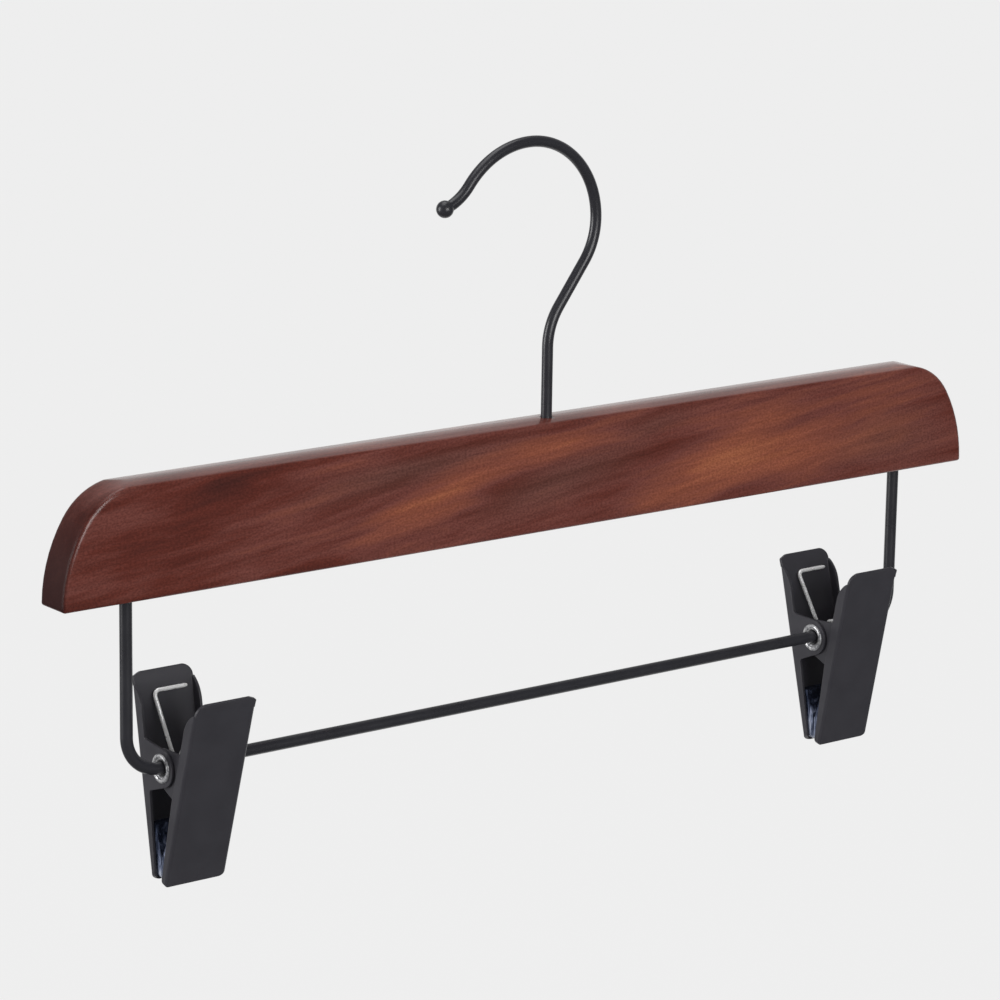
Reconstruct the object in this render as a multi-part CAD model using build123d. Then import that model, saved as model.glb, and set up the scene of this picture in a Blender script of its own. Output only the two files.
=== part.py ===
from build123d import *
import math
import os

os.makedirs("parts", exist_ok=True)

# Skirt hanger in millimetres: +X along the bar, +Y to the back, +Z up.
# The origin is the inside top of the hook, the point that rests on a clothes rail.

# Wooden bar
bar_length = 360.0
bar_height = 35.7
bar_thickness = 13.2
bar_shoulder_radius = 22.0
bar_end_taper = 4.0
bar_easing = 1.0
bar_crown = 0.6

# Wire hook that turns in the bar
hook_wire_d = 3.6
hook_ball_d = 5.5
hook_offset = 3.2
hook_rise = 22.5
hook_neck_radius = 21.5
hook_neck_run = 16.8
hook_back_radius = 23.0
hook_bow_radius = 26.4
hook_front_radius = 30.4
hook_tip_radius = 19.2
hook_neck_turn = 36.2
hook_front_turn = 52.4
hook_tip_turn = 34.4

# Nut and washer that hold the hook from below
swivel_clearance = 0.1
counterbore_d = 9.0
counterbore_depth = 7.0
washer_d = 8.4
washer_thickness = 1.0
nut_across_flats = 7.0
nut_thickness = 3.2
nut_chamfer = 0.4
nut_play = 0.05
shank_end_height = 1.8

# Wire rail that carries the clips
rail_wire_d = 3.9
rail_leg_inset = 25.4
rail_bend_radius = 11.5
rail_drop = 54.95
rail_socket_depth = 14.0

# Wires have many-sided sections, which keeps the number of facets low
wire_sides = 12
spring_sides = 7

# Pressed sheet jaws: depths run inward from the outer face, heights along the plate
clip_width = 22.0
sheet = 0.9
fold_radius = 1.2
jaw_lean = 12.9
jaw_reach = 12.1
jaw_below = 35.4
jaw_corner_radius = 1.0
jaw_round_radius = 2.8
flange_depth = 4.1
flange_foot_depth = 2.3
flange_foot_radius = 1.8
flange_curve_start = 17.3
flange_curve_end = 25.4
ear_radius = 6.0
ear_gap = 0.1
shoulder_above = 8.6
shoulder_below = 7.4
shoulder_radius = 1.2
lip_start = 24.6
lip_radius = 18.0
lip_flare = 12.5
lip_inset = 0.4
lip_round_radius = 3.9
lip_corner_run = 3.0
lip_corner_drop = 1.3
lip_edge_radius = 0.25

# Hollow rivet: the pivot of both jaws, and the sleeve that slides on the rail
rivet_bore_d = 4.7
rivet_d = 6.0
rivet_head_d = 9.2
rivet_head_thickness = 0.6
rivet_head_rim = 0.2
rivet_crown_width = 0.8
rivet_clearance = 0.05
rail_clearance = 0.07
end_stop_gap = 0.1

# Torsion spring wound round the rivet, one arm behind each handle
spring_wire_d = 1.3
spring_mean_d = 8.4
spring_pitch = 1.75
spring_whole_turns = 3
spring_arm_height = 22.1
spring_arm_length = 12.0
spring_bend_radius = 1.9
spring_arm_gap = 0.05

# Grip pads bonded inside the jaws
pad_top = -19.5
pad_meet = -29.0
pad_bottom = -36.3
pad_top_offset = 3.7
pad_gap = 0.3
pad_edge_radius = 0.4
pad_corner_radius = 2.0

# How far each clip is turned on the rail at rest, in degrees about +X
left_clip_swing = 3.0
right_clip_swing = -1.4

# The middle of the bow is a quarter turn, counted in degrees
quarter_turn = 90.0
half_turn = 180.0
joggle_share = math.tan(math.radians(quarter_turn / 4))


def hook_line(foot_length):
    """Centre line of the hook in the (x, z) plane, up from the foot of its shank at the origin."""
    run = foot_length + hook_rise
    shank = Line((0, 0), (0, run))
    neck = JernArc(shank @ 1, shank % 1, hook_neck_radius, -hook_neck_turn)
    throat = PolarLine(neck @ 1, hook_neck_run, direction=neck % 1)
    back = JernArc(throat @ 1, throat % 1, hook_back_radius, hook_neck_turn)
    bow = JernArc(back @ 1, back % 1, hook_bow_radius, quarter_turn)
    front = JernArc(bow @ 1, bow % 1, hook_front_radius, hook_front_turn)
    tip = JernArc(front @ 1, front % 1, hook_tip_radius, -hook_tip_turn)
    return [shank, neck, throat, back, bow, front, tip]


# Heights and places that follow from the driving sizes, measured from the origin
rail_leg_spacing = bar_length - 2 * rail_leg_inset
hook_lines = hook_line(bar_height - shank_end_height)
hook_top = hook_lines[4] @ 1
shank_x = -hook_top.X
shank_foot_z = hook_wire_d / 2 - hook_top.Y
bar_bottom_z = shank_foot_z - shank_end_height
bar_x = shank_x - hook_offset
rail_z = bar_bottom_z - rail_drop
clip_axis_z = rail_z - rivet_bore_d / 2 + rail_wire_d / 2 + rail_clearance
rivet_half = clip_width / 2 + rivet_clearance + rivet_head_thickness
clip_travel = rail_leg_spacing / 2 - rail_bend_radius - rivet_half - end_stop_gap


def crown_outline():
    """End view of the bar, whose top is domed from front to back."""
    half = bar_thickness / 2
    rim = bar_height - bar_crown
    sides = Polyline((-half, rim), (-half, 0), (half, 0), (half, rim))
    return make_face([*sides.edges(), ThreePointArc((-half, rim), (0, bar_height), (half, rim))])


def make_wood_bar():
    """Bar with quarter-oval ends, a domed top, the hook's bore and the two blind rail sockets."""
    half = bar_length / 2
    end_run = bar_shoulder_radius + bar_end_taper
    shoulder = half - end_run
    rise = bar_height - bar_shoulder_radius
    end_radius = (end_run**2 + rise**2 - bar_shoulder_radius**2) / bar_end_taper / 2
    bend = math.degrees(math.asin(rise / (end_radius - bar_shoulder_radius)))
    foot = Line((-half, 0), (half, 0))
    right = CenterArc((half - end_radius, 0), end_radius, 0, bend)
    right_top = CenterArc((shoulder, rise), bar_shoulder_radius, bend, quarter_turn - bend)
    top = Line((shoulder, bar_height), (-shoulder, bar_height))
    left = CenterArc((end_radius - half, 0), end_radius, half_turn, -bend)
    left_top = CenterArc((-shoulder, rise), bar_shoulder_radius, half_turn - bend, bend - quarter_turn)
    outline = make_face([foot, right, right_top, top, left_top, left])
    bar = extrude(Plane.XZ * outline, bar_thickness / 2, both=True)
    bar = fillet(bar.edges(), bar_easing)
    bar &= extrude(Plane.YZ * crown_outline(), half, both=True)
    bore = Cylinder(hook_wire_d / 2 + swivel_clearance, bar_height, align=(Align.CENTER, Align.CENTER, Align.MIN))
    recess = Cylinder(counterbore_d / 2, counterbore_depth, align=(Align.CENTER, Align.CENTER, Align.MIN))
    socket = Cylinder(rail_wire_d / 2, rail_socket_depth, align=(Align.CENTER, Align.CENTER, Align.MIN))
    bar -= Pos(hook_offset, 0, 0) * (bore + recess)
    for side in (-1, 1):
        bar -= Pos(side * rail_leg_spacing / 2, 0, 0) * socket
    return Pos(bar_x, 0, bar_bottom_z) * bar


def make_hook():
    """One bent wire with a ball end."""
    path = Plane.XZ * Curve(hook_lines)
    section = Plane(path @ 0, z_dir=path % 0) * RegularPolygon(hook_wire_d / 2, wire_sides)
    wire = sweep(section, path=path)
    ball = Pos(path @ 1) * Sphere(hook_ball_d / 2)
    return Pos(shank_x, 0, shank_foot_z) * (wire + ball)


def make_hook_washer():
    """Washer against the roof of the counterbore."""
    ring = Circle(washer_d / 2) - Circle(hook_wire_d / 2 + swivel_clearance)
    base = bar_bottom_z + counterbore_depth - washer_thickness
    return Pos(shank_x, 0, base) * extrude(ring, washer_thickness)


def make_hook_nut():
    """Hexagon nut on the foot of the shank."""
    blank = extrude(RegularPolygon(nut_across_flats / 2, 6, major_radius=False), nut_thickness)
    corner_radius = nut_across_flats / 2 / math.cos(math.pi / 6)
    turned = Cylinder(corner_radius, nut_thickness, align=(Align.CENTER, Align.CENTER, Align.MIN))
    turned = chamfer(turned.edges().filter_by(GeomType.CIRCLE), nut_chamfer)
    thread = Cylinder(hook_wire_d / 2, nut_thickness, align=(Align.CENTER, Align.CENTER, Align.MIN))
    top = bar_bottom_z + counterbore_depth - washer_thickness - nut_play
    return Pos(shank_x, 0, top - nut_thickness) * ((blank & turned) - thread)


def make_clip_rail():
    """U-shaped wire with both ends in the blind sockets of the bar."""
    leg = rail_leg_spacing / 2
    corners = [(-leg, rail_socket_depth), (-leg, -rail_drop), (leg, -rail_drop), (leg, rail_socket_depth)]
    path = Plane.XZ * FilletPolyline(*corners, radius=rail_bend_radius)
    section = Plane(path @ 0, z_dir=path % 0) * RegularPolygon(rail_wire_d / 2, wire_sides)
    return Pos(bar_x, 0, bar_bottom_z) * sweep(section, path=path)


def plate_point(depth, height):
    """Place in the side view of an upright jaw, with the pivot at the origin."""
    return (depth - jaw_reach, height)


def tangent_point(corner, side):
    """Where the straight edge from a flange corner touches the round ear."""
    reach = math.hypot(*corner)
    angle = math.atan2(corner[1], corner[0]) + side * math.acos(ear_radius / reach)
    return (ear_radius * math.cos(angle), ear_radius * math.sin(angle))


def jaw_side():
    """Side view of a jaw: the flange edge, the shoulders and the round ear."""
    upper = plate_point(flange_depth, shoulder_above)
    lower = plate_point(flange_depth, -shoulder_below)
    foot = plate_point(flange_foot_depth, -jaw_below)
    curve_start = plate_point(flange_depth, flange_curve_start)
    curve_end = plate_point(0, flange_curve_end)
    edge = Polyline(curve_end, plate_point(0, -jaw_below), foot, lower, curve_start)
    edge += TangentArc(curve_start, curve_end, tangent=(0, 1))
    flange = make_face(edge)
    flange = fillet(flange.vertices().sort_by_distance(foot)[0], flange_foot_radius)
    web_height = lip_start + jaw_below
    web = Pos(sheet / 2 - jaw_reach, (lip_start - jaw_below) / 2) * Rectangle(sheet, web_height)
    ear = make_face(Polyline(lower, upper, tangent_point(upper, -1), tangent_point(lower, 1), close=True))
    side = flange + ear + Circle(ear_radius)
    shoulders = [side.vertices().sort_by_distance(corner)[0] for corner in (upper, lower)]
    return fillet(shoulders, shoulder_radius) + web


def jaw_front():
    """Front view of a jaw: two opposite corners well rounded, one nearly square and one bevelled."""
    half = clip_width / 2
    top = lip_start + (lip_radius + sheet) * math.sin(math.radians(lip_flare))
    lip_half = half - lip_inset
    corners = {
        (half, -jaw_below): jaw_round_radius,
        (lip_half, top - lip_corner_drop): jaw_corner_radius,
        (-lip_half, top): lip_round_radius,
        (-half, -jaw_below): jaw_corner_radius,
    }
    right = [(half, -jaw_below), (half, lip_start), (lip_half, lip_start)]
    left = [(-x, z) for x, z in reversed(right)]
    bevel = [(lip_half, top - lip_corner_drop), (lip_half - lip_corner_run, top)]
    outline = make_face(Polyline(*right, *bevel, (-lip_half, top), *left, close=True))
    for corner, radius in corners.items():
        outline = fillet(outline.vertices().sort_by_distance(corner)[0], radius)
    return outline


def channel_outline(inset, step):
    """Half channel seen from above, as points from the web to the free edge of the ear."""
    half = clip_width / 2 - inset
    start = flange_depth - jaw_reach - inset * joggle_share
    far = ear_radius + sheet
    points = [(half, inset - jaw_reach)]
    if step:
        points += [(half, start), (half - step, start + step)]
    return points + [(half - step, far)]


def channel_face(inset, step, radius):
    """Closed outline of the channel with its two folds rounded."""
    right = channel_outline(inset, step)
    left = [(-x, y) for x, y in reversed(right)]
    face = make_face(Polyline(*right, *left, close=True))
    return fillet(face.vertices().sort_by(Axis.Y)[:2], radius)


def make_lip():
    """Handle edge that curls outward."""
    centre = (-jaw_reach - lip_radius, lip_start)
    outer = CenterArc(centre, lip_radius, 0, lip_flare)
    inner = CenterArc(centre, lip_radius + sheet, 0, lip_flare)
    band = make_face([outer, inner, Line(outer @ 0, inner @ 0), Line(outer @ 1, inner @ 1)])
    lip = extrude(Plane.YZ * band, clip_width / 2 - lip_inset, both=True)
    return fillet(lip.edges().filter_by(Axis.X).sort_by(Axis.Z)[-2:], lip_edge_radius)


def make_jaw(step):
    """Pressed jaw standing upright on the -Y side, its ears set in by the joggle step."""
    channel = channel_face(0, step, fold_radius) - channel_face(sheet, step, fold_radius - sheet)
    jaw = Pos(0, 0, -jaw_below) * extrude(channel, jaw_below + flange_curve_end)
    jaw &= extrude(Plane.YZ * jaw_side(), clip_width, both=True)
    jaw += make_lip()
    jaw &= extrude(Plane.XZ * jaw_front(), jaw_reach + lip_radius, both=True)
    jaw -= Rot(0, quarter_turn, 0) * Cylinder(rivet_d / 2 + rivet_clearance, clip_width)
    return Rot(jaw_lean, 0, 0) * jaw


def make_rivet():
    """Hollow rivet with a rolled head at each end."""
    base = clip_width / 2 + rivet_clearance
    bore = rivet_bore_d / 2
    head = rivet_head_d / 2
    crown = (bore + head) / 2
    top = base + rivet_head_thickness
    right = [(base, rivet_d / 2), (base, head), (base + rivet_head_rim, head)]
    right += [(top, crown + rivet_crown_width / 2), (top, crown - rivet_crown_width / 2), (base, bore)]
    left = [(-x, y) for x, y in reversed(right)]
    return revolve(make_face(Polyline(*right, *left, close=True)), Axis.X)


def arm_point(side):
    """Centre of a spring arm behind a handle, in the (y, z) plane; side is -1 front, 1 back."""
    lean = math.radians(jaw_lean)
    depth = jaw_reach - sheet - spring_arm_gap - spring_wire_d / 2
    y = depth * math.cos(lean) + spring_arm_height * math.sin(lean)
    z = spring_arm_height * math.cos(lean) - depth * math.sin(lean)
    return (side * y, z)


def biarc(start, start_way, end, end_way):
    """Two arcs that join two places and leave both along the given directions."""
    chord = end - start
    ways = start_way + end_way
    a = ways.dot(ways) - 4
    b = -2 * chord.dot(ways)
    c = chord.dot(chord)
    reach = (-b - math.sqrt(b * b - 4 * a * c)) / (2 * a)
    joint = (start + start_way * reach + end - end_way * reach) / 2
    first = Edge.make_tangent_arc(start, start_way, joint)
    return [first, Edge.make_tangent_arc(joint, first % 1, end)]


def spring_coil():
    """Points and directions of the winding, about half a turn apart, from the back arm to the front one."""
    radius = spring_mean_d / 2
    y, z = arm_point(1)
    leave = math.atan2(z, y) - math.acos(radius / math.hypot(y, z))
    sweep_angle = 2 * math.pi * spring_whole_turns + math.pi + 2 * leave
    steps = round(sweep_angle / math.pi)
    rise = spring_pitch / (2 * math.pi)
    points = []
    ways = []
    for index in range(steps + 1):
        turned = sweep_angle * index / steps
        angle = leave - turned
        x = rise * (turned - sweep_angle / 2)
        points.append(Vector(x, radius * math.cos(angle), radius * math.sin(angle)))
        ways.append(Vector(rise, radius * math.sin(angle), -radius * math.cos(angle)).normalized())
    return points, ways


def spring_end(place, way, side):
    """Leg, bend and arm that run on from one end of the winding, in that order."""
    y, z = arm_point(side)
    rise = (z - place.Z) / way.Z
    corner = place + way * rise
    across = Vector(side, 0, 0)
    turn = way.get_angle(across)
    tangent = spring_bend_radius * math.tan(math.radians(turn / 2))
    bend_start = corner - way * tangent
    bend_end = corner + across * tangent
    leg = Edge.make_line(place, bend_start)
    bend = Edge.make_tangent_arc(bend_start, way, bend_end)
    arm = Edge.make_line(bend_end, corner + across * spring_arm_length)
    return [leg, bend, arm]


def least_gap(path):
    """Smallest distance between two stretches of the spring's surface, measured on points."""
    count = 900
    points = [path @ (index / count) for index in range(count + 1)]
    spacing = path.length / count
    apart = math.ceil(spring_mean_d / spacing)
    centres = min(
        (points[i] - points[j]).length
        for i in range(count + 1)
        for j in range(i + apart, count + 1)
    )
    return centres - spring_wire_d


def make_spring():
    """One unbroken wire: back arm, leg, winding, leg and front arm."""
    points, ways = spring_coil()
    edges = spring_end(points[0], ways[0] * -1, 1)
    for index in range(len(points) - 1):
        edges += biarc(points[index], ways[index], points[index + 1], ways[index + 1])
    edges += spring_end(points[-1], ways[-1], -1)
    path = Wire(edges)
    print("least gap of the spring to itself, mm:", round(least_gap(path), 3))
    section = Plane(path @ 0, z_dir=path % 0) * RegularPolygon(spring_wire_d / 2, spring_sides)
    return sweep(section, path=path)


def make_back_pad():
    """Wedge between the jaw plate and the middle of the clip, snug between the flanges."""
    lean = math.radians(jaw_lean)
    plate = (jaw_reach - sheet) / math.cos(lean)
    outer = [(plate + z * math.tan(lean), z) for z in (pad_bottom, pad_top)]
    inner = [(pad_top_offset, pad_top), (pad_gap / 2, pad_meet), (pad_gap / 2, pad_bottom)]
    outline = make_face(Polyline(*outer, *inner, close=True))
    outline = fillet(outline.vertices().sort_by(Axis.X)[:2], pad_edge_radius)
    half = clip_width / 2 - fold_radius
    front = Pos(0, (pad_top + pad_bottom) / 2) * Rectangle(2 * half, pad_top - pad_bottom)
    front = fillet(front.vertices().sort_by(Axis.Y)[:2], pad_corner_radius)
    depth = max(y for y, z in outer)
    return extrude(Plane.YZ * outline, half, both=True) & extrude(Plane.XZ * front, depth, both=True)


export_step(make_wood_bar(), "parts/wood_bar.step")
export_step(make_hook(), "parts/hook.step")
export_step(make_hook_washer(), "parts/hook_washer.step")
export_step(make_hook_nut(), "parts/hook_nut.step")
export_step(make_clip_rail(), "parts/clip_rail.step")

back_pad = make_back_pad()
clip_nodes = {
    "back_jaw": Rot(0, 0, half_turn) * make_jaw(0),
    "front_jaw": make_jaw(sheet + ear_gap),
    "rivet": make_rivet(),
    "spring": make_spring(),
    "back_pad": back_pad,
    "front_pad": Rot(0, 0, half_turn) * back_pad,
}
for side_name, side_sign, swing in (("left", -1, left_clip_swing), ("right", 1, right_clip_swing)):
    place = Pos(bar_x + side_sign * clip_travel, 0, clip_axis_z) * Rot(swing, 0, 0)
    for node_name, solid in clip_nodes.items():
        export_step(place * solid, f"parts/{side_name}_{node_name}.step")
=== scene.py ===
# %% [markdown]
# This lesson dresses a skirt hanger for a photograph: a stained wooden bar, a black wire hook that swivels,
# and a black wire rail that carries two sprung sheet-metal clips.
# The engineering model is loaded first as a fixed frame, in metres, with its origin at the inside top of the hook.
# Every rigid node keeps its shape. The wires, the eyelets and the springs get rounder pieces worked out with numpy.

# %% Load the engineering model
import math

import bpy
import numpy as np
from mathutils import Matrix, Vector


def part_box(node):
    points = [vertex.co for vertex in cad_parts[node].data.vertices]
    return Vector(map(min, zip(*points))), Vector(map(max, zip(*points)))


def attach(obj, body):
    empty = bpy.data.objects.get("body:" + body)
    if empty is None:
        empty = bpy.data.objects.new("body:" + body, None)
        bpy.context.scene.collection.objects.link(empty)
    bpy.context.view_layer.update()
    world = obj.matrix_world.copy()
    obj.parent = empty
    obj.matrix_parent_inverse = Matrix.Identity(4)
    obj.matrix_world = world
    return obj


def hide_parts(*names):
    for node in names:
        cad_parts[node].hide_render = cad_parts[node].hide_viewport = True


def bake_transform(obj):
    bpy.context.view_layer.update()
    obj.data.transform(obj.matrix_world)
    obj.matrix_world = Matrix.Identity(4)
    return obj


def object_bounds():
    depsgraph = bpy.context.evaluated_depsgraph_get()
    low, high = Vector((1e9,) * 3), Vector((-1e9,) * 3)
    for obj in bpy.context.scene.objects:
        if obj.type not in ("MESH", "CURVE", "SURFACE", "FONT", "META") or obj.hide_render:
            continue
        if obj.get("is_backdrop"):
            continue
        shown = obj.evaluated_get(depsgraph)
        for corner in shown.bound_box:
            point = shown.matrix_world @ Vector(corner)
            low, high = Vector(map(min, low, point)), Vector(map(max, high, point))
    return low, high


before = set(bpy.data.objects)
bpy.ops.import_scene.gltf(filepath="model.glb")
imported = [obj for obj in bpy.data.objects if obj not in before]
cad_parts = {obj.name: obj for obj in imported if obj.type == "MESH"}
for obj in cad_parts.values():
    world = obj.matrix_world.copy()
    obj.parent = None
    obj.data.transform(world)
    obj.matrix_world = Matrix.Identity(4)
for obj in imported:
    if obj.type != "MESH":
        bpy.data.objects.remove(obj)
cad_low, cad_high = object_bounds()
print("model size in metres:", [round(value, 4) for value in cad_high - cad_low])

# %% [markdown]
# Blender's shaders expect linear light, while a colour that was read from a picture is an sRGB hex value.
# One function turns one into the other, so every colour below can be written as a person would read it.
# A second small helper adds a node, sets its values and joins its inputs, which keeps each material short.

# %% Helpers for colours and nodes
MM = 0.001
MICRON = 0.001 * MM


def linear(hex_colour):
    """sRGB to linear: each channel c becomes ((c + 0.055) / 1.055) ** 2.4, or c / 12.92 when it is very dark."""
    channels = np.array([int(hex_colour[i:i + 2], 16) for i in (1, 3, 5)]) / 255
    values = np.where(channels <= 0.04045, channels / 12.92, ((channels + 0.055) / 1.055) ** 2.4)
    return (*map(float, values), 1.0)


def add_node(tree, kind, inputs=None, **settings):
    """Adds one node. A value in inputs is set on the socket, and a socket in inputs is linked to it."""
    node = tree.nodes.new(kind)
    for name, value in settings.items():
        setattr(node, name, value)
    for name, value in (inputs or {}).items():
        if isinstance(value, bpy.types.NodeSocket):
            tree.links.new(value, node.inputs[name])
        else:
            node.inputs[name].default_value = value
    return node


def new_material(name):
    """An empty material with its shader and its Object coordinates, as (material, tree, shader, coordinates)."""
    material = bpy.data.materials.new(name)
    material.use_nodes = True
    tree = material.node_tree
    tree.nodes.clear()
    output = tree.nodes.new("ShaderNodeOutputMaterial")
    shader = tree.nodes.new("ShaderNodeBsdfPrincipled")
    tree.links.new(shader.outputs["BSDF"], output.inputs["Surface"])
    place = tree.nodes.new("ShaderNodeTexCoord").outputs["Object"]
    return material, tree, shader, place


def set_ramp(ramp, stops):
    """Gives a colour ramp its stops, as (position, hex colour)."""
    elements = ramp.color_ramp.elements
    while len(elements) < len(stops):
        elements.new(0.5)
    for element, (position, colour) in zip(elements, stops):
        element.position = position
        element.color = linear(colour)
    return ramp.outputs["Color"]


print("mid grey in linear light:", round(linear("#808080")[0], 3))

# %% [markdown]
# The bar is a close-grained hardwood, stained red-brown and lacquered.
# What the eye sees first is the figure: broad, soft bands that rise slowly to the right. Some took less stain and
# glow orange, and others are grey-brown heartwood. Each is an ellipse along the grain, bent by slow noise so that
# no edge looks drawn. Over them lie long, faint fibres and a speckle of fine pores.
# End grain drinks more stain and lacquer, so the wood is darker and duller where its surface turns towards the
# bar's length. A clear coat on top gives the glossy skin. It pools over the edges, so the Bevel node rounds their
# look by two millimetres.

# %% Stained and lacquered hardwood
def soft_patch(tree, place, centre, size, tilt):
    """1 in the middle of an ellipse in the XZ plane and 0 at its edge, rising to the right by tilt degrees."""
    local = add_node(tree, "ShaderNodeMapping", {
        "Vector": place, "Location": (centre[0] * MM, 0.0, centre[1] * MM),
        "Rotation": (0.0, math.radians(-tilt), 0.0), "Scale": (size[0] * MM, 10.0, size[1] * MM)},
        vector_type="TEXTURE")
    distance = add_node(tree, "ShaderNodeVectorMath", {0: local.outputs[0]}, operation="LENGTH")
    inside = add_node(tree, "ShaderNodeMapRange", {
        "Value": distance.outputs["Value"], "From Min": 1.0, "From Max": 0.0}, interpolation_type="SMOOTHSTEP")
    return inside.outputs[0]


def add_patches(tree, place, patches, total):
    """The sum of weight times soft_patch over the list, on top of total."""
    for centre, size, tilt, weight in patches:
        patch = soft_patch(tree, place, centre, size, tilt)
        total = add_node(tree, "ShaderNodeMath", {0: patch, 1: weight, 2: total}, operation="MULTIPLY_ADD").outputs[0]
    return total


def grain_noise(tree, place, length, width, detail, roughness=0.6, tilt=0.0):
    """Noise whose cells are length by width in mm, with the length rising to the right by tilt degrees."""
    cells = add_node(tree, "ShaderNodeMapping", {
        "Vector": place, "Rotation": (0.0, math.radians(-tilt), 0.0),
        "Scale": (length * MM, width * MM, width * MM)}, vector_type="TEXTURE")
    return add_node(tree, "ShaderNodeTexNoise", {
        "Vector": cells.outputs[0], "Scale": 1.0, "Detail": detail, "Roughness": roughness})


# Each patch is its centre from the bar's middle, its half size, both in mm, its tilt in degrees and its weight.
orange_figure = [
    ((-48, -3), (46, 12), 12, 0.27), ((-3, 8), (50, 7), 12, 0.26), ((76, -5), (62, 13), 10, 0.38),
    ((92, 9), (44, 8), 6, 0.18), ((112, -7), (50, 10), 7, 0.2), ((155, 2), (44, 26), 0, 0.1),
    ((-150, 2), (60, 26), 5, -0.10), ((-120, 13), (60, 8), 3, -0.08),
    ((-140, -5), (56, 5), 3, 0.06)]
grey_heartwood = [
    ((-58, 8), (60, 7), 5, 0.5), ((10, -2), (52, 10), 11, 0.45), ((150, -6), (40, 14), 4, 0.3),
    ((44, 12), (26, 6), 6, 0.3)]
wander_reach = (40 * MM, 9 * MM, 9 * MM)
stain_stops = [(0.08, "#48201b"), (0.27, "#662c21"), (0.42, "#78423a"), (0.66, "#97553f"), (0.9, "#b56e4a")]
heartwood_grey = linear("#63463f")
end_grain_brown = linear("#2a1110")


def make_lacquered_hardwood():
    material, tree, shader, place = new_material("lacquered_hardwood")
    low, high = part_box("wood_bar")
    centred = add_node(tree, "ShaderNodeVectorMath", {0: place, 1: tuple((low + high) / 2)}, operation="SUBTRACT")
    centred = centred.outputs[0]
    wander = grain_noise(tree, centred, 110, 25, 2.0, 0.5)
    push = add_node(tree, "ShaderNodeVectorMath", {
        0: wander.outputs["Color"], 1: (0.5, 0.5, 0.5)}, operation="SUBTRACT")
    push = add_node(tree, "ShaderNodeVectorMath", {0: push.outputs[0], 1: wander_reach}, operation="MULTIPLY")
    bent = add_node(tree, "ShaderNodeVectorMath", {0: centred, 1: push.outputs[0]}, operation="ADD").outputs[0]
    cloud = grain_noise(tree, bent, 55, 6, 4.0, tilt=7)
    tone = add_node(tree, "ShaderNodeMapRange", {
        "Value": cloud.outputs["Fac"], "From Min": 0.3, "From Max": 0.7, "To Min": 0.23, "To Max": 0.54}).outputs[0]
    stain = add_node(tree, "ShaderNodeValToRGB", {"Fac": add_patches(tree, bent, orange_figure, tone)})
    stain = set_ramp(stain, stain_stops)
    heart = add_patches(tree, bent, grey_heartwood, 0.0)
    colour = add_node(tree, "ShaderNodeMix", {"Factor": heart, "A": stain, "B": heartwood_grey}, data_type="RGBA")
    colour = colour.outputs[2]
    fibre = grain_noise(tree, bent, 40, 1.6, 2.0, tilt=5)
    speckle = grain_noise(tree, centred, 0.9, 0.6, 1.0, 0.5)
    for layer, dark, share in ((fibre, "#d3c8c3", 0.5), (speckle, "#b5a8a1", 0.6)):
        shade = add_node(tree, "ShaderNodeValToRGB", {"Fac": layer.outputs["Fac"]})
        shade = set_ramp(shade, [(0.32, dark), (0.66, "#ffffff")])
        colour = add_node(tree, "ShaderNodeMix", {
            "Factor": share, "A": colour, "B": shade}, data_type="RGBA", blend_type="MULTIPLY").outputs[2]
    facing = add_node(tree, "ShaderNodeSeparateXYZ", {0: tree.nodes.new("ShaderNodeTexCoord").outputs["Normal"]})
    facing = add_node(tree, "ShaderNodeMath", {0: facing.outputs["X"]}, operation="ABSOLUTE")
    end_grain = add_node(tree, "ShaderNodeMapRange", {
        "Value": facing.outputs[0], "From Min": 0.25, "From Max": 1.0, "To Min": 0.0, "To Max": 0.95})
    darker = add_node(tree, "ShaderNodeMix", {
        "Factor": end_grain.outputs[0], "A": colour, "B": end_grain_brown}, data_type="RGBA")
    round_edge = add_node(tree, "ShaderNodeBevel", {"Radius": 2.0 * MM}, samples=8).outputs["Normal"]
    bump = add_node(tree, "ShaderNodeBump", {
        "Height": fibre.outputs["Fac"], "Strength": 0.1, "Distance": 30 * MICRON, "Normal": round_edge})
    tree.links.new(darker.outputs[2], shader.inputs["Base Color"])
    tree.links.new(bump.outputs["Normal"], shader.inputs["Normal"])
    tree.links.new(round_edge, shader.inputs["Coat Normal"])
    lacquer = add_node(tree, "ShaderNodeMath", {0: end_grain.outputs[0], 1: -0.85, 2: 0.85}, operation="MULTIPLY_ADD")
    tree.links.new(lacquer.outputs[0], shader.inputs["Coat Weight"])
    shader.inputs["Roughness"].default_value = 0.5
    shader.inputs["Specular IOR Level"].default_value = 0.1
    shader.inputs["Coat Roughness"].default_value = 0.14
    shader.inputs["Coat IOR"].default_value = 1.5
    return material


lacquered_hardwood = make_lacquered_hardwood()
print("made", lacquered_hardwood.name)

# %% [markdown]
# The clips are cold-pressed steel under a black enamel that was baked to a satin gloss, and the wires carry the same
# enamel a little glossier. Paint isn't metal to the eye: what you see is a dark body under a clear skin that
# reflects about a twentieth of the room, so metallic stays at zero and the IOR is that of paint.
# The plates are a little uneven from pressing, which a very weak, broad bump gives.
# The Bevel node rounds the look of the sheet's cut edges by a few tenths of a millimetre.

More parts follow.
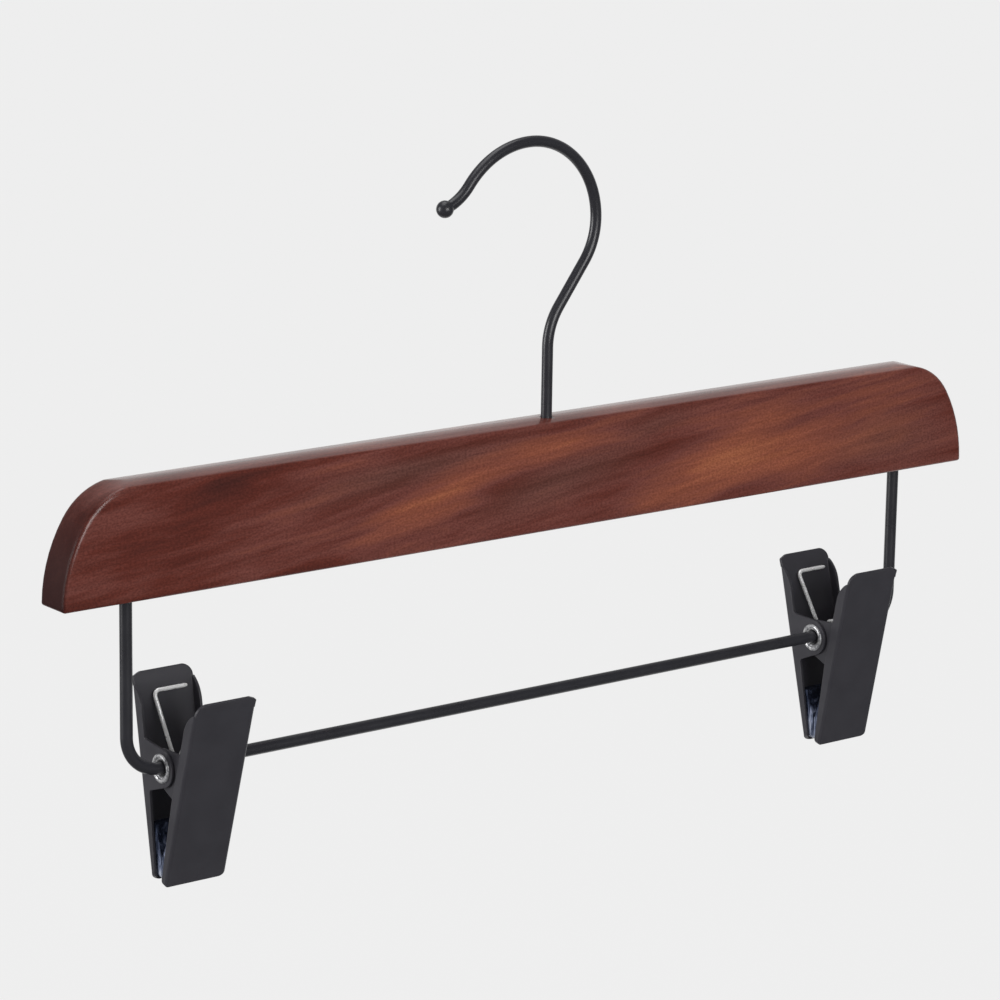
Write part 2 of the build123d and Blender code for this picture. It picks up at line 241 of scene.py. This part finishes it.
# %% Black enamel on sheet and on wire
def make_black_enamel(name, colour, roughness, dust, ripple, edge):
    material, tree, shader, place = new_material(name)
    cloud = add_node(tree, "ShaderNodeTexNoise", {"Vector": place, "Scale": 1 / (9 * MM), "Detail": 3.0})
    grit = add_node(tree, "ShaderNodeTexNoise", {"Vector": place, "Scale": 1 / (0.35 * MM), "Detail": 2.0})
    rough = add_node(tree, "ShaderNodeMapRange", {
        "Value": cloud.outputs["Fac"], "From Min": 0.3, "From Max": 0.7,
        "To Min": roughness - dust, "To Max": roughness + dust})
    tone = add_node(tree, "ShaderNodeMix", {
        "Factor": cloud.outputs["Fac"], "A": linear(colour[0]), "B": linear(colour[1])}, data_type="RGBA")
    round_edge = add_node(tree, "ShaderNodeBevel", {"Radius": edge}, samples=6)
    wave = add_node(tree, "ShaderNodeBump", {
        "Height": cloud.outputs["Fac"], "Strength": ripple, "Distance": 60 * MICRON,
        "Normal": round_edge.outputs["Normal"]})
    skin = add_node(tree, "ShaderNodeBump", {
        "Height": grit.outputs["Fac"], "Strength": 0.08, "Distance": 6 * MICRON, "Normal": wave.outputs["Normal"]})
    tree.links.new(tone.outputs[2], shader.inputs["Base Color"])
    tree.links.new(rough.outputs[0], shader.inputs["Roughness"])
    tree.links.new(skin.outputs["Normal"], shader.inputs["Normal"])
    shader.inputs["IOR"].default_value = 1.5
    return material


sheet_enamel = make_black_enamel(
    "black_enamel_on_sheet", ("#302f34", "#39383e"), roughness=0.38, dust=0.04, ripple=0.1, edge=0.35 * MM)
wire_enamel = make_black_enamel(
    "black_enamel_on_wire", ("#26262a", "#2e2e33"), roughness=0.3, dust=0.05, ripple=0.12, edge=0.2 * MM)
print("made", sheet_enamel.name, "and", wire_enamel.name)

# %% [markdown]
# The eyelets, the springs, the nut and the washer are plain metal. A hollow rivet is rolled from nickel-plated
# steel, and its head keeps small stains that show as darker spots, so it is nearly but not fully metallic. On a
# metal the colour is the reflection's own tint, and roughness says how polished it is. A spring is drawn wire with
# a white zinc plate. The plate's thin salt film scatters light as well as mirroring it, so its metallic share is
# a little under a half.

# %% Bright plated steel
def make_plated_steel(name, colour, metallic, roughness, mark_length, mark_width, depth):
    material, tree, shader, place = new_material(name)
    marks = add_node(tree, "ShaderNodeMapping", {
        "Vector": place, "Scale": (1 / mark_length, 1 / mark_width, 1 / mark_width)})
    marks = add_node(tree, "ShaderNodeTexNoise", {"Vector": marks.outputs[0], "Scale": 1.0, "Detail": 3.0})
    spread = add_node(tree, "ShaderNodeMapRange", {
        "Value": marks.outputs["Fac"], "From Min": 0.35, "From Max": 0.65}).outputs[0]
    rough = add_node(tree, "ShaderNodeMapRange", {
        "Value": spread, "To Min": roughness * 1.25, "To Max": roughness * 0.75})
    tone = add_node(tree, "ShaderNodeMix", {
        "Factor": spread, "A": linear(colour[0]), "B": linear(colour[1])}, data_type="RGBA")
    bump = add_node(tree, "ShaderNodeBump", {"Height": marks.outputs["Fac"], "Strength": 0.2, "Distance": depth})
    tree.links.new(tone.outputs[2], shader.inputs["Base Color"])
    tree.links.new(rough.outputs[0], shader.inputs["Roughness"])
    tree.links.new(bump.outputs["Normal"], shader.inputs["Normal"])
    shader.inputs["Metallic"].default_value = metallic
    return material


rolled_nickel = make_plated_steel(
    "nickel_plated_eyelet", ("#8a8b8f", "#e4e4e5"), metallic=0.85, roughness=0.45,
    mark_length=0.9 * MM, mark_width=0.9 * MM, depth=4 * MICRON)
bright_wire = make_plated_steel(
    "zinc_plated_spring_wire", ("#f4f4f4", "#fcfcfc"), metallic=0.45, roughness=0.3,
    mark_length=4.0 * MM, mark_width=2.0 * MM, depth=1 * MICRON)
zinc_steel = make_plated_steel(
    "zinc_plated_fastener", ("#9a9b98", "#b6b7b2"), metallic=1.0, roughness=0.38,
    mark_length=0.5 * MM, mark_width=0.5 * MM, depth=8 * MICRON)
print("made", rolled_nickel.name, bright_wire.name, zinc_steel.name)

# %% [markdown]
# The grip pads are a soft, clear vinyl, moulded between the jaws so that cloth isn't marked.
# Clear plastic against black steel shows the steel through it, so its darkest tone is navy. The moulded flow lines
# run down the pad and are painted lavender as painted highlights, where they would catch the light. Painted shade
# darkens the tone towards the pad's top, up between the jaws, and it is painted lighter towards its foot.

# %% Clear blue-grey vinyl
def make_clear_vinyl():
    material, tree, shader, place = new_material("clear_vinyl_pad")
    flow = add_node(tree, "ShaderNodeMapping", {
        "Vector": place, "Scale": (1 / (2.4 * MM), 1 / (1.1 * MM), 1 / (7 * MM))})
    flow = add_node(tree, "ShaderNodeTexNoise", {
        "Vector": flow.outputs[0], "Scale": 1.0, "Detail": 4.0, "Distortion": 0.8})
    low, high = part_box("left_front_pad")
    # Painted shade: a height ramp makes the pad's tone darker towards its top, between the jaws, and lighter towards
    # its foot.
    height = add_node(tree, "ShaderNodeSeparateXYZ", {0: place})
    depth = add_node(tree, "ShaderNodeMapRange", {
        "Value": height.outputs["Z"], "From Min": low.z, "From Max": high.z, "To Min": 0.2, "To Max": -0.16})
    flow_and_painted_light = add_node(tree, "ShaderNodeMath", {0: flow.outputs["Fac"], 1: depth.outputs[0]}, operation="ADD")
    # Painted highlight: where the flow noise is high, the ramp turns the tone lavender, as if the flow lines caught
    # the light.
    tone = add_node(tree, "ShaderNodeValToRGB", {"Fac": flow_and_painted_light.outputs[0]})
    tone = set_ramp(tone, [(0.36, "#1e2332"), (0.52, "#4b5369"), (0.64, "#8c95ae"), (0.8, "#c4cad9")])
    bump = add_node(tree, "ShaderNodeBump", {"Height": flow.outputs["Fac"], "Strength": 0.5, "Distance": 0.2 * MM})
    tree.links.new(tone, shader.inputs["Base Color"])
    tree.links.new(bump.outputs["Normal"], shader.inputs["Normal"])
    shader.inputs["Roughness"].default_value = 0.16
    shader.inputs["IOR"].default_value = 1.45
    shader.inputs["Transmission Weight"].default_value = 0.25
    return material


clear_vinyl = make_clear_vinyl()
print("made", clear_vinyl.name)

# %% [markdown]
# The nodes that keep the engineering shape only need the right finish.
# Each object has one or more material slots, and every slot of a node gets the same material here.

# %% Finish the nodes that stay
def finish_node(name, material):
    for material_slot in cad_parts[name].material_slots:
        material_slot.material = material


finishes = {"wood_bar": lacquered_hardwood, "hook_washer": zinc_steel, "hook_nut": zinc_steel}
for side in ("left", "right"):
    for end in ("back", "front"):
        finishes.update({f"{side}_{end}_jaw": sheet_enamel, f"{side}_{end}_pad": clear_vinyl})
for node_name, finish in finishes.items():
    finish_node(node_name, finish)
print("nodes finished:", len(finishes))

# %% [markdown]
# New pieces are grids of points. One axis of the grid runs along the piece, the other goes round it.
# The grid is worked out as whole arrays and joined with four-sided faces, and each open end gets one flat face.

# %% A closed grid becomes a mesh
def grid_piece(name, grid, material, body, looped=False):
    """grid[i, j] is point j of ring i, in metres. Faces join (i, j), (i, j+1), (i+1, j+1) and (i+1, j)."""
    count, around = grid.shape[:2]
    index = np.arange(count * around).reshape(count, around)
    along = np.roll(index, -1, axis=0) if looped else index[1:]
    start = index if looped else index[:-1]
    quads = np.stack([start, np.roll(start, -1, axis=1), np.roll(along, -1, axis=1), along], axis=-1).reshape(-1, 4)
    faces = quads.tolist()
    if not looped:
        faces += [index[0, ::-1].tolist(), index[-1].tolist()]
    mesh = bpy.data.meshes.new(name)
    mesh.from_pydata(grid.reshape(-1, 3).tolist(), [], faces)
    mesh.update()
    mesh.polygons.foreach_set("use_smooth", np.ones(len(faces), bool))
    mesh.set_sharp_from_angle(angle=math.radians(50))
    mesh.materials.append(material)
    piece = bpy.data.objects.new(name, mesh)
    bpy.context.scene.collection.objects.link(piece)
    if body:
        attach(piece, body)
    return piece


def rings_along(points, across, upward, radii, around=32):
    """Ring i: points[i] + radii[i] * (across[i] cos t + upward[i] sin t), for t all the way round."""
    turn = np.linspace(0, math.tau, around, endpoint=False)[None, :, None]
    return points[:, None] + radii[:, None, None] * (across[:, None] * np.cos(turn) + upward[:, None] * np.sin(turn))


def unit(vectors):
    return vectors / np.linalg.norm(vectors, axis=-1, keepdims=True)


print("helpers ready")

# %% [markdown]
# A bent wire is straight runs joined by arcs, all in one plane. Its heading is an angle that stays the same on a run
# and turns evenly on an arc, so the centre line is the running sum of short steps along that heading.

# %% Centre line of a bent wire
def bent_line(start, heading, moves, step):
    """Place x(s) = start + sum of ds (cos h, sin h), where heading h(s) grows by turn / length along each move."""
    lengths = np.array([length for length, turn in moves])
    turns = np.radians([turn for length, turn in moves])
    marks = np.concatenate([[0], np.cumsum(lengths)])
    s = np.linspace(0, marks[-1], int(marks[-1] / step) + 1)
    s = np.unique(np.concatenate([s, marks]))
    headings = math.radians(heading) + np.interp(s, marks, np.concatenate([[0], np.cumsum(turns)]))
    middle = (headings[1:] + headings[:-1]) / 2
    ds = np.diff(s)[:, None]
    places = np.concatenate([[np.zeros(2)], np.cumsum(ds * np.stack([np.cos(middle), np.sin(middle)], -1), 0)])
    return np.array(start) + places, headings


def flat_tube(line, headings, radii, around=32):
    """A wire bent in the XZ plane. Its ring directions are +Y and the heading turned by a quarter."""
    points = np.stack([line[:, 0], np.zeros(len(line)), line[:, 1]], -1)
    across = np.stack([-np.sin(headings), np.zeros(len(line)), np.cos(headings)], -1)
    upward = np.tile([0.0, 1.0, 0.0], (len(line), 1))
    return rings_along(points, upward, across, radii, around)


def arc(radius, degrees):
    return (abs(math.radians(degrees)) * radius * MM, degrees)


bar_top_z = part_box("wood_bar")[1].z
hook_low, hook_high = map(np.array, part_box("hook"))
rail_low, rail_high = map(np.array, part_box("clip_rail"))
print("hook spans", (hook_low * 1000).round(1), (hook_high * 1000).round(1))

# %% [markdown]
# The hook's bends are the ones of the engineering model: a straight shank, a bend to a sloping run, the round bow,
# and a tip that turns outward to a ball. The ball belongs to the same surface: past the wire's end the rings follow
# a sphere, so nothing has to be joined.

# %% The hook
hook_radius = 1.8 * MM
hook_foot = (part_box("hook_nut")[0].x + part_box("hook_nut")[1].x) / 2, hook_low[2]
shank_above_bar = 22.5 * MM
shank = bar_top_z - hook_low[2] + shank_above_bar
hook_moves = [
    (shank, 0), arc(21.5, -36.2), (16.8 * MM, 0), arc(23.0, 36.2), arc(26.4, 90.0), arc(30.4, 52.4), arc(19.2, -34.4)]
hook_points, hook_headings = bent_line(hook_foot, 90, hook_moves, 0.7 * MM)
ball_radius = 2.75 * MM
ball_start = math.pi - math.asin(hook_radius / ball_radius)
ball_angles = np.linspace(ball_start, 0.06, 22)
tip, tip_heading = hook_points[-1], hook_headings[-1]
tip_way = np.array([math.cos(tip_heading), math.sin(tip_heading)])
ball_line = tip + np.cos(ball_angles)[:, None] * ball_radius * tip_way
keep = np.linalg.norm(hook_points - tip, axis=1) > ball_radius * abs(math.cos(ball_start))
line = np.concatenate([hook_points[keep], ball_line])
headings = np.concatenate([hook_headings[keep], np.full(len(ball_line), tip_heading)])
radii = np.concatenate([np.full(keep.sum(), hook_radius), ball_radius * np.sin(ball_angles)])
radii[0] = hook_radius * 0.8
hook_wire = grid_piece("hook_wire", flat_tube(line, headings, radii), wire_enamel, "hook")
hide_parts("hook")
print("hook tip ball at", (tip * 1000).round(1), "mm; rings", len(line))

# %% [markdown]
# The rail is a wide U of a slightly thicker wire. Its two legs go up into blind holes in the bar's underside, so
# its ends aren't seen. Every size but the wire's own radius and the bends' comes from the engineering model's box.

# %% The rail
rail_radius = 1.95 * MM
bend_radius = 11.5
leg = rail_high[2] - rail_low[2] - rail_radius - bend_radius * MM
span = rail_high[0] - rail_low[0] - 2 * rail_radius - 2 * bend_radius * MM
rail_moves = [(leg, 0), arc(bend_radius, 90), (span, 0), arc(bend_radius, 90), (leg, 0)]
rail_points, rail_headings = bent_line((rail_low[0] + rail_radius, rail_high[2]), -90, rail_moves, 0.9 * MM)
rail_tube = flat_tube(rail_points, rail_headings, np.full(len(rail_points), rail_radius))
rail_wire = grid_piece("rail_wire", rail_tube, wire_enamel, "hanger")
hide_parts("clip_rail")
print("rail ends at", (rail_points[[0, -1]] * 1000).round(1).tolist())

# %% [markdown]
# Each clip turns on an eyelet: a short steel tube whose two ends are rolled over the jaws' ears.
# A profile turned round the clip's axis gives it. Each head is a broad round bead, as a rolling tool leaves it, so it
# catches a ring of light, and a short funnel leads from it into the bore that slides on the rail.

# %% The eyelets
def turned_profile(centre, profile, around=64):
    """Point (x, r) of the profile goes to centre + (x, r cos t, r sin t), for t all the way round."""
    turn = np.linspace(0, math.tau, around, endpoint=False)
    x, radius = profile[:, :1], profile[:, 1:]
    ring = np.stack([x + 0 * turn, radius * np.cos(turn), radius * np.sin(turn)], -1)
    return ring + np.array(centre)


def eyelet_profile():
    """Closed loop of (x, r): tube wall, then at each end a half round bead and a funnel down to the bore."""
    base, bore, body, head, height, bead = 11.05, 2.35, 3.0, 4.6, 0.6, 0.72
    t = np.linspace(0, math.pi, 13)
    roll = np.stack([base + 0.1 + (height - 0.1) * np.sin(t), head - bead + bead * np.cos(t)], -1)
    t = np.linspace(0.15, 1, 9)
    slope = head - 2 * bead - bore
    funnel = np.stack([base + 0.1 - 0.9 * t**2 + 0.1 * np.sin(math.pi * t), bore + slope * (1 - t)], -1)
    side = np.concatenate([[[base, body], [base, head]], roll, funnel])
    return np.concatenate([side, (side * [-1, 1])[::-1]]) * MM


# At rest each clip hangs a little off the vertical, and by its own angle, as in the photograph.
clip_centres = {}
clip_swing = {"left": math.radians(3.0), "right": math.radians(-1.4)}
for side in ("left", "right"):
    low, high = map(np.array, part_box(f"{side}_rivet"))
    clip_centres[side] = (low + high) / 2
    grid = turned_profile(clip_centres[side], eyelet_profile())
    eyelet = grid_piece(f"{side}_eyelet", grid, rolled_nickel, f"{side}_slider", looped=True)
    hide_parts(f"{side}_rivet")
    print(side, "clip axis at", (clip_centres[side] * 1000).round(2))

# %% [markdown]
# The torsion spring is one wire: an arm behind the back handle, a leg down to the winding, the turns round the
# eyelet, then a leg and an arm up behind the front handle. The winding is a helix, and each leg runs on along its
# last direction. When the jaws open, one end follows each jaw.

# %% The springs
# Sizes in mm, the lean in radians
spring = {"wire": 1.3, "mean": 8.4, "pitch": 1.75, "turns": 3, "arm_height": 22.1, "arm_length": 12.0, "bend": 1.9}
jaw = {"reach": 12.1, "sheet": 0.9, "lean": math.radians(12.9), "arm_gap": 0.05}


def spring_line():
    """Centre line in mm about the clip's axis: helix (rise a, R cos a, R sin a), legs, round bends and arms."""
    radius = spring["mean"] / 2
    depth = jaw["reach"] - jaw["sheet"] - jaw["arm_gap"] - spring["wire"] / 2
    arm_y = depth * math.cos(jaw["lean"]) + spring["arm_height"] * math.sin(jaw["lean"])
    arm_z = spring["arm_height"] * math.cos(jaw["lean"]) - depth * math.sin(jaw["lean"])
    leave = math.atan2(arm_z, arm_y) - math.acos(radius / math.hypot(arm_y, arm_z))
    total = math.tau * spring["turns"] + math.pi + 2 * leave
    rise = spring["pitch"] / math.tau
    a = np.linspace(0, total, 230)
    angle = leave - a
    helix = np.stack([rise * (a - total / 2), radius * np.cos(angle), radius * np.sin(angle)], -1)
    way = unit(np.array([rise, radius * math.sin(angle[-1]), -radius * math.cos(angle[-1])]))
    corner = helix[-1] + way * (arm_z - helix[-1, 2]) / way[2]
    across = np.array([-1.0, 0.0, 0.0])
    turn = math.acos(way @ across)
    cut = spring["bend"] * math.tan(turn / 2)
    inward = unit(across - way * (way @ across))
    t = np.linspace(0, turn, 14)[:, None]
    bend = corner - way * cut + spring["bend"] * (way * np.sin(t) + inward * (1 - np.cos(t)))
    leg = helix[-1] + np.linspace(0.05, 0.97, 24)[:, None] * (bend[0] - helix[-1])
    arm = bend[-1] + np.linspace(0.08, 1, 10)[:, None] * (corner + across * spring["arm_length"] - bend[-1])
    front = np.concatenate([leg, bend, arm])
    back = front[::-1] * [-1, -1, 1]
    return np.concatenate([back, helix, front]), len(back), len(helix), np.cross(way, [1.0, 0.0, 0.0])


def spring_rings(line, ends, turns, side_way, around=16):
    """Ring directions: along the helix the cross product of heading and X, and on each end that of its leg."""
    heading = unit(np.gradient(line, axis=0))
    across = unit(np.cross(heading, [1.0, 0.0, 0.0]) + 1e-12)
    across[ends + turns:] = unit(side_way)
    across[:ends] = unit(side_way * [-1, -1, 1]) * -1
    across = unit(across - heading * np.sum(across * heading, -1, keepdims=True))
    radii = np.full(len(line), spring["wire"] / 2)
    radii[[0, -1]] *= 0.7
    return rings_along(line, across, np.cross(heading, across), radii, around)


line, ends, turns, side_way = spring_line()
for side in ("left", "right"):
    swing = clip_swing[side]
    about_x = np.array([
        [1, 0, 0], [0, math.cos(swing), math.sin(swing)], [0, -math.sin(swing), math.cos(swing)]])
    grid = spring_rings(line, ends, turns, side_way) @ about_x * MM + clip_centres[side]
    wound = grid_piece(f"{side}_torsion_spring", grid, bright_wire, None)
    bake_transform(wound)
    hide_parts(f"{side}_spring")
gaps = np.linalg.norm(line[:, None] - line[None], axis=-1)
apart = np.abs(np.subtract.outer(np.arange(len(line)), np.arange(len(line))))
gaps = gaps[apart >= 26]
print("spring rings", len(line), "least gap to itself in mm", round(float(gaps.min() - spring["wire"]), 2))

# %% [markdown]
# The room is a studio with a pale paper sweep behind the hanger and a dark side where the photographer stands.
# The camera sees pale paper wherever it looks. Glossy reflections and clear plastic see the real room: the bar's
# front and the clips' plates mirror its dark side, which keeps their colours deep, and the bar's top mirrors the
# sweep, whose light fades upward, so the sheen is palest at the back edge.
# Matt surfaces are lit by an even dome and by large lamps, at a level where a colour comes out about as it is
# written. The world's own grey is a touch darker than the paper's, so that no horizon shows where the floor ends.

# %% The room
sweep_grey = "#f2f2f2"
far_grey = "#eeeeee"
room_shade = 0.12
look_azimuth = math.radians(-37.707)
ahead = (-math.sin(look_azimuth), math.cos(look_azimuth), 0.0)


def seen_directly(tree):
    """1 for camera, glossy and transmission rays, 0 for the rest."""
    rays = tree.nodes.new("ShaderNodeLightPath").outputs
    seen = add_node(tree, "ShaderNodeMath", {0: rays["Is Camera Ray"], 1: rays["Is Glossy Ray"]}, operation="MAXIMUM")
    seen = add_node(tree, "ShaderNodeMath", {0: seen.outputs[0], 1: rays["Is Transmission Ray"]}, operation="MAXIMUM")
    return seen.outputs[0]


def sweep_strength(tree, direction, fade):
    """1 for the camera. Else room_shade away from the sweep, rising to 1 where the direction's share along ahead
    grows from 0.35 to 0.85, times a light that falls from 1 at the horizon to fade at 33 degrees above it."""
    flat = add_node(tree, "ShaderNodeVectorMath", {0: direction, 1: (1.0, 1.0, 0.0)}, operation="MULTIPLY")
    flat = add_node(tree, "ShaderNodeVectorMath", {0: flat.outputs[0]}, operation="NORMALIZE")
    along = add_node(tree, "ShaderNodeVectorMath", {0: flat.outputs[0], 1: ahead}, operation="DOT_PRODUCT")
    side = add_node(tree, "ShaderNodeMapRange", {
        "Value": along.outputs["Value"], "From Min": 0.35, "From Max": 0.85, "To Min": room_shade, "To Max": 1.0},
        interpolation_type="SMOOTHSTEP")
    height = add_node(tree, "ShaderNodeSeparateXYZ", {0: direction})
    height = add_node(tree, "ShaderNodeMapRange", {
        "Value": height.outputs["Z"], "From Min": 0.0, "From Max": 0.55, "To Min": 1.0, "To Max": fade})
    room = add_node(tree, "ShaderNodeMath", {0: side.outputs[0], 1: height.outputs[0]}, operation="MULTIPLY")
    camera_ray = tree.nodes.new("ShaderNodeLightPath").outputs["Is Camera Ray"]
    return add_node(tree, "ShaderNodeMath", {0: room.outputs[0], 1: camera_ray}, operation="MAXIMUM").outputs[0]


world = bpy.data.worlds.new("studio")
bpy.context.scene.world = world
world.use_nodes = True
tree = world.node_tree
tree.nodes.clear()
output = tree.nodes.new("ShaderNodeOutputWorld")
direction = tree.nodes.new("ShaderNodeTexCoord").outputs["Generated"]
dome = add_node(tree, "ShaderNodeBackground", {"Color": linear("#ffffff"), "Strength": 0.6})
backdrop = add_node(tree, "ShaderNodeBackground", {
    "Color": linear(far_grey), "Strength": sweep_strength(tree, direction, 0.35)})
choice = add_node(tree, "ShaderNodeMixShader", {0: seen_directly(tree), 1: dome.outputs[0], 2: backdrop.outputs[0]})
tree.links.new(choice.outputs[0], output.inputs["Surface"])
print("world made:", world.name)

# %% The floor
floor_material, tree, shader, place = new_material("pale_floor")
shader.inputs["Base Color"].default_value = linear("#a0a0a0")
shader.inputs["Roughness"].default_value = 0.9
share = add_node(tree, "ShaderNodeMath", {0: seen_directly(tree), 1: 0.95}, operation="MULTIPLY")
glow = add_node(tree, "ShaderNodeEmission", {
    "Color": linear(sweep_grey), "Strength": sweep_strength(tree, place, 1.0)})
choice = add_node(tree, "ShaderNodeMixShader", {0: share.outputs[0], 1: shader.outputs[0], 2: glow.outputs[0]})
floor_output = next(node for node in tree.nodes if node.type == "OUTPUT_MATERIAL")
tree.links.new(choice.outputs[0], floor_output.inputs["Surface"])
floor_mesh = bpy.data.meshes.new("floor")
reach, floor_z = 14.0, -0.62
corners = [(-reach, -reach, floor_z), (reach, -reach, floor_z), (reach, reach, floor_z), (-reach, reach, floor_z)]
floor_mesh.from_pydata(corners, [], [(0, 1, 2, 3)])
floor_mesh.materials.append(floor_material)
floor = bpy.data.objects.new("floor", floor_mesh)
bpy.context.scene.collection.objects.link(floor)
floor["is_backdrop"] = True
print("floor at z", floor_z, "m")

# %% [markdown]
# Three soft boxes do the rest. The one above lights the bar's top, the one in front lights its face and the clips'
# plates, and the one on the left lights the clips' flanges and draws the bright line along the springs. The left
# one stands aside from where the bar's end would mirror it, so the end grain keeps its dark brown.

# %% The lamps
def add_lamp(name, place, target, size, power):
    lamp = bpy.data.lights.new(name, "AREA")
    lamp.shape = "RECTANGLE"
    lamp.size, lamp.size_y = size
    lamp.energy = power
    holder = bpy.data.objects.new(name, lamp)
    bpy.context.scene.collection.objects.link(holder)
    holder.location = place
    holder.rotation_mode = "QUATERNION"
    holder.rotation_quaternion = (Vector(place) - Vector(target)).to_track_quat("Z", "Y")
    return holder


middle = Vector((0.0, 0.0, -0.11))
add_lamp("top_softbox", (-0.1, 0.15, 1.1), middle, (1.2, 0.8), 6.0)
add_lamp("front_softbox", (-0.1, -1.5, 0.2), middle, (0.9, 0.7), 11.5)
add_lamp("left_softbox", (-1.86, 0.75, 0.1), middle, (0.9, 1.2), 22.0)

# %% [markdown]
# The camera stands where the photograph's did. Its place was found by fitting the known corners, edges and eyelets:
# it looks at the hanger from the left, 38 degrees off the front and 14 degrees above, from 1.3 metres away.

# %% Camera
azimuth, elevation, roll, distance = look_azimuth, math.radians(13.586), math.radians(0.93), 1.29145
aim = np.array([-10.135, 0.0, -111.704]) * MM
back = np.array([
    math.sin(azimuth) * math.cos(elevation), -math.cos(azimuth) * math.cos(elevation), math.sin(elevation)])
level = np.array([math.cos(azimuth), math.sin(azimuth), 0.0])
upright = np.cross(back, level)
right = math.cos(roll) * level + math.sin(roll) * upright
up = math.cos(roll) * upright - math.sin(roll) * level
camera_data = bpy.data.cameras.new("camera")
sensor_width, lens_ratio = 36.0, 4.0821
camera_data.sensor_width = sensor_width
camera_data.lens = sensor_width * lens_ratio
camera_data.clip_end = 100.0
camera = bpy.data.objects.new("camera", camera_data)
bpy.context.scene.collection.objects.link(camera)
turned = Matrix(np.stack([right, up, back], axis=1).tolist()).to_4x4()
camera.matrix_world = Matrix.Translation(aim + back * distance) @ turned
bpy.context.scene.camera = camera
bpy.context.scene.view_settings.view_transform = "Standard"
print("camera at", [round(value, 3) for value in camera.location])

# %% [markdown]
# The dressed hanger has to fill the same box as the engineering model. Both boxes are printed.

# %% Print both boxes
look_low, look_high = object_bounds()
for name, size in (("cad", cad_high - cad_low), ("look", look_high - look_low)):
    print(name, "box in mm:", [round(value / MM, 1) for value in size])
